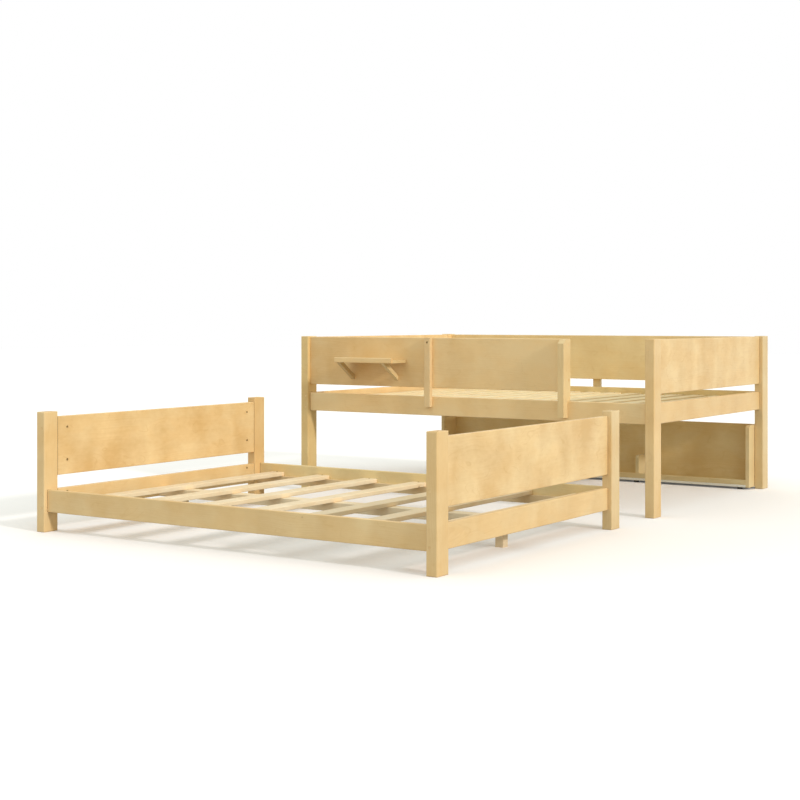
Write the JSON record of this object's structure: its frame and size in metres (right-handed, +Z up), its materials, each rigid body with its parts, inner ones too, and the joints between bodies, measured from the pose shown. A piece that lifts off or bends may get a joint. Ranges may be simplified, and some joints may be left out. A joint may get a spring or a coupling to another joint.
{
  "type": "bunk bed",
  "caption": "Low wooden bunk bed taken apart: a slatted low bed and a half-height loft bed with guard panels, ladder opening, small bracket shelf and a low wall tray.",
  "frame": {"origin": "on the floor at the centre of the whole footprint of both beds", "axes": "+X along the beds towards the foot end with the ladder opening, +Y from the low bed towards the loft bed and the wall, +Z up"},
  "size_m": [2.02, 3.331, 0.816],
  "materials": {
    "frame_wood": "oiled pine with grain and knots, satin",
    "bare_wood": "bare planed pine, matt",
    "hardware": "yellow zinc plated",
    "glide_plastic": "dark moulded plastic"
  },
  "bodies": {
    "root": {"low_post_head_near": "frame_wood", "low_post_head_far": "frame_wood", "low_post_foot_near": "frame_wood", "low_post_foot_far": "frame_wood", "low_head_panel": "frame_wood", "low_foot_panel": "frame_wood", "low_head_rail": "frame_wood", "low_foot_rail": "frame_wood", "low_side_rail_near": "frame_wood", "low_side_rail_far": "frame_wood", "low_ledger_near": "bare_wood", "low_ledger_far": "bare_wood", "low_center_beam": "bare_wood", "low_legs": "bare_wood", "low_slats": "bare_wood", "low_bolts": "hardware", "low_barrel_nuts": "hardware", "loft_post_head_near": "frame_wood", "loft_post_head_far": "frame_wood", "loft_post_foot_near": "frame_wood", "loft_post_foot_far": "frame_wood", "loft_head_panel": "frame_wood", "loft_foot_panel": "frame_wood", "loft_head_rail": "frame_wood", "loft_foot_rail": "frame_wood", "loft_front_rail": "frame_wood", "loft_back_rail": "frame_wood", "loft_ledger_front": "bare_wood", "loft_ledger_back": "bare_wood", "loft_center_beam": "bare_wood", "loft_slats": "bare_wood", "loft_bolts": "hardware", "loft_barrel_nuts": "hardware", "loft_front_guard": "frame_wood", "loft_back_guard": "frame_wood", "front_stile": "frame_wood", "back_stile": "frame_wood", "ladder_stile": "frame_wood", "guard_bolts": "hardware", "guard_nuts": "hardware", "shelf_board": "frame_wood", "shelf_lip": "frame_wood", "shelf_bracket_head": "frame_wood", "shelf_bracket_foot": "frame_wood", "tray_back": "frame_wood", "tray_bottom": "bare_wood", "tray_lip": "frame_wood", "tray_end_head": "frame_wood", "tray_end_foot": "frame_wood", "tray_divider": "frame_wood", "tray_glides": "glide_plastic"}
  },
  "joints": []
}
